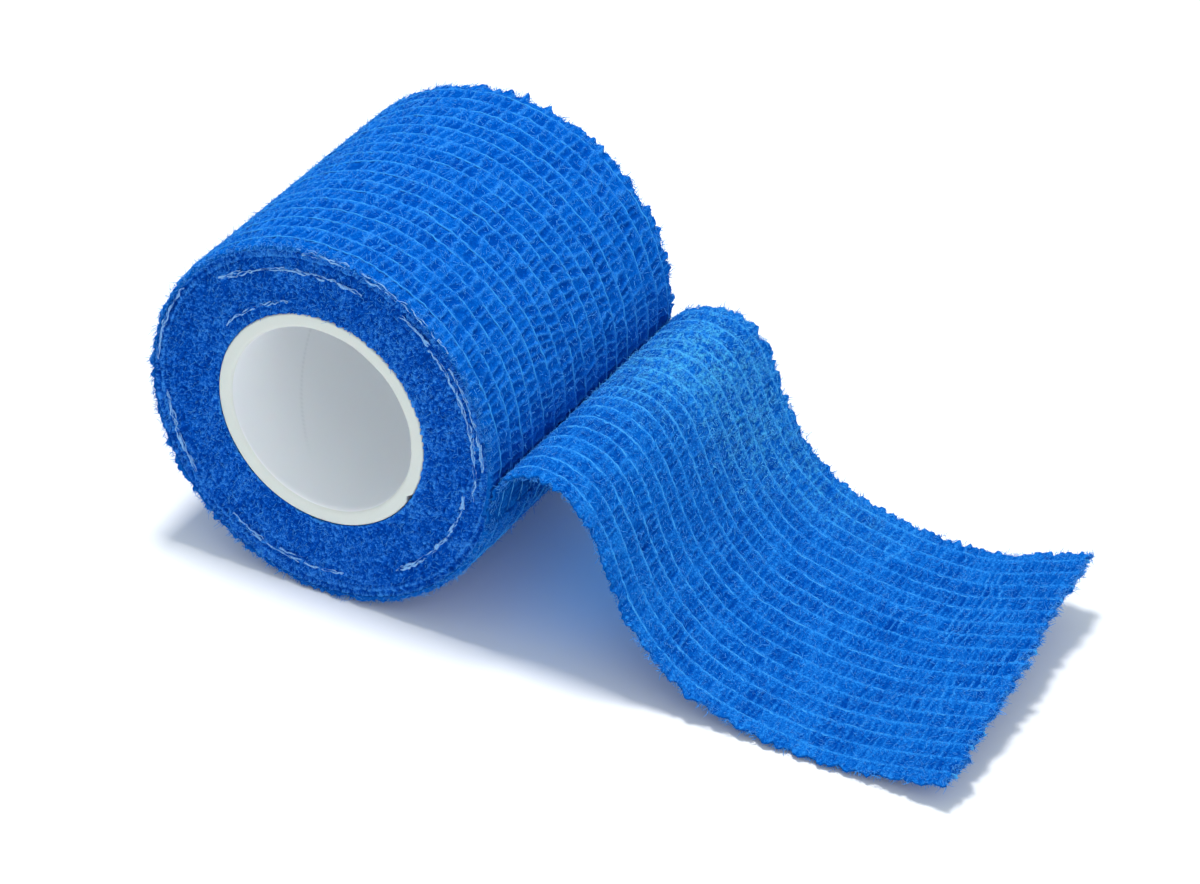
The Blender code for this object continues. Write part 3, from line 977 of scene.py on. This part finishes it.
def core_piece():
    """The plastic tube, with rounded rims, a bore painted paler as painted light, and a faint moulding line
    inside.
    """
    outer, inner, end = CORE_RADIUS, CORE_RADIUS - CORE_WALL, HALF_WIDTH
    crisp, rounding = 0.3, 0.55
    sides = 480
    profile = []
    for centre_r, corner, start in ((outer - crisp, crisp, 0), (inner + rounding, rounding, 90)):
        for k in range(7):
            a = math.radians(start + 15 * k)
            profile.append((centre_r + corner * math.cos(a), corner - end - corner * math.sin(a)))
    middle = [(inner, y) for y in np.linspace(-end + rounding, end - rounding, 120)[1:-1]]
    mirrored = [(r, -y) for r, y in reversed(profile)]
    outside = [(outer, y) for y in np.linspace(end - crisp, crisp - end, 8)[1:-1]]
    section = np.array(profile + middle + mirrored + outside)
    angle = 2 * math.pi * np.arange(sides) / sides
    r, y = np.broadcast_arrays(section[:, 0][None], section[:, 1][None] + 0 * angle[:, None])
    off_nick = (angle - math.radians(331)) / math.radians(1.8)
    nick = np.exp(-(off_nick**2))[:, None] * (y < -end + 0.8) * (r > outer - 0.9)
    uneven = 0.06 * slow.at(angle * 4, 3)[:, None] * (y < -end + 0.8)
    r = r - 0.45 * nick + uneven
    x = r * np.cos(angle)[:, None]
    z = CORE_CENTRE_Z + r * np.sin(angle)[:, None]
    points = np.stack([x, y, z], -1).reshape(-1, 3)
    count = len(section)
    i, k = np.meshgrid(np.arange(sides), np.arange(count), indexing="ij")
    a, b = i * count + k, ((i + 1) % sides) * count + k
    a2, b2 = i * count + (k + 1) % count, ((i + 1) % sides) * count + (k + 1) % count
    faces = np.stack([a, a2, b2, b], -1).reshape(-1, 4).tolist()
    # The bore's wall, which the material paints paler as painted light.
    inside = np.clip((inner + 0.3 - r) / 0.3, 0, 1) * (np.abs(y) < end - 0.3)
    spiral = (angle[:, None] - math.radians(186) - (y + end - 19.5) * math.radians(-54) / 11) * inner / 1.6
    half_round, full_round = math.pi * inner / 1.6, 2 * math.pi * inner / 1.6
    off_seam = np.abs((spiral + half_round) % full_round - half_round)
    seam = 0.28 * inside * np.exp(-((off_seam / 0.16) ** 2)) * np.clip((y + end - 7.5) / 4, 0, 1)
    piece = make_mesh("core", points, faces, plastic, {"inside": inside.ravel(), "seam": seam.ravel()})
    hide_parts("core_tube")
    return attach(piece, "core")


def distance_of(joint):
    """How far along the strip a hinge lies."""
    point = np.array(HINGES[joint]["pos_m"]) / MM
    middle = (strip.near + strip.far) / 2
    return strip.s[np.linalg.norm(middle - point, axis=1).argmin()]


# Where the tail bends, and where the visible tape is cut: half way between neighbouring bends
BENDS = [distance_of(name) for name in ("peel", "crest_bend", "drop_bend", "foot_bend", "end_bend")]
SEAMS = [FIRST_SEAM] + [(a + b) / 2 for a, b in zip(BENDS, BENDS[1:])] + [strip.length]


def middle_point(s):
    point = strip.place(np.array([s]), np.array([0.0]), np.array([0.0]))[0]
    return Vector(point * MM)


def blend_stretch(piece, number):
    """Bakes a piece's place into its mesh; the bodies and the points either side of its hinge, worked out
    here, are passed on but not used.
    """
    bodies = ["roll"] + [f"tail_{i}" for i in range(1, TAIL_STRETCHES + 1)]
    hinge = BENDS[number - 1]
    reach = min(hinge - SEAMS[number - 1], SEAMS[number] - hinge, LONGEST_REACH) * REACH_SHARE
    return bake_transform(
        piece, bodies[number - 1], bodies[number], middle_point(hinge - reach), middle_point(hinge + reach)
    )


def make_tape():
    turn = outer_turn()
    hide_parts("outer_turn_outer_web", "outer_turn_inner_web")
    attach(turn, "roll")
    roll_threads()
    for number in range(1, TAIL_STRETCHES + 1):
        tape = tail_piece(number)
        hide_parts(f"tail_{number}_outer_web", f"tail_{number}_inner_web")
        blend_stretch(tape, number)
        threads = tail_threads(number)
        blend_stretch(threads, number)
        loose = [tail_fuzz(number)]
        if number <= WORN_STRETCHES:
            loose.append(wear_and_light_fibres(number))
        for piece in loose:
            blend_stretch(piece, number)


# Stage


def make_stage():
    scene = bpy.context.scene
    bpy.ops.mesh.primitive_plane_add(size=6.0, location=(0, 0, -0.0002))
    floor = bpy.context.object
    floor.name = "floor"
    material, nodes, _ = new_material("floor")
    nodes["Principled BSDF"].inputs["Base Color"].default_value = (0.9, 0.9, 0.9, 1)
    nodes["Principled BSDF"].inputs["Roughness"].default_value = 0.9
    floor.data.materials.append(material)

    world = bpy.data.worlds.new("studio")
    world.use_nodes = True
    world.node_tree.nodes["Background"].inputs["Color"].default_value = (0.88, 1.0, 1.06, 1)
    world.node_tree.nodes["Background"].inputs["Strength"].default_value = 0.62
    scene.world = world
    scene.view_settings.view_transform = "Standard"

    aim = Vector((0.03, 0, 0.02))
    for name, place, size, power in (
        ("key", (-0.05, 0.0, 0.75), 0.13, 4.3),
        ("fill", (0.60, -0.42, 0.45), 0.6, 1.35),
    ):
        light = bpy.data.lights.new(name, "AREA")
        light.size = size
        light.energy = power
        lamp = bpy.data.objects.new(name, light)
        lamp.location = place
        lamp.rotation_euler = (aim - Vector(place)).to_track_quat("-Z", "Y").to_euler()
        scene.collection.objects.link(lamp)

    # The blue light that comes through the thin tape, under its arch
    light = bpy.data.lights.new("through_tape", "AREA")
    light.shape = "RECTANGLE"
    light.size = 0.012
    light.size_y = 0.040
    light.color = (0.0, 0.35, 1.0)
    light.energy = 0.0010
    lamp = bpy.data.objects.new("through_tape", light)
    lamp.location = (0.033, 0.0, 0.014)
    lamp.visible_camera = False
    scene.collection.objects.link(lamp)


def make_camera():
    azimuth, elevation, roll = math.radians(27.85), math.radians(33.22), math.radians(2.0)
    distance, target = 0.69845, Vector((0.0288, 0, 0.01995))
    level = math.cos(elevation)
    back = Vector((math.sin(azimuth) * level, -math.cos(azimuth) * level, math.sin(elevation)))
    right = (-back).cross(Vector((0, 0, 1))).normalized()
    up = right.cross(-back)
    turned_right = right * math.cos(roll) + up * math.sin(roll)
    turned_up = up * math.cos(roll) - right * math.sin(roll)
    data = bpy.data.cameras.new("camera")
    data.lens = 155.7
    camera = bpy.data.objects.new("camera", data)
    matrix = Matrix((turned_right, turned_up, back)).transposed().to_4x4()
    matrix.translation = target + back * distance
    camera.matrix_world = matrix
    bpy.context.scene.collection.objects.link(camera)
    bpy.context.scene.camera = camera


make_camera()
make_stage()
core_piece()
wound_turns()
face_fuzz()
edge_strands()
make_tape()
roll_fuzz()
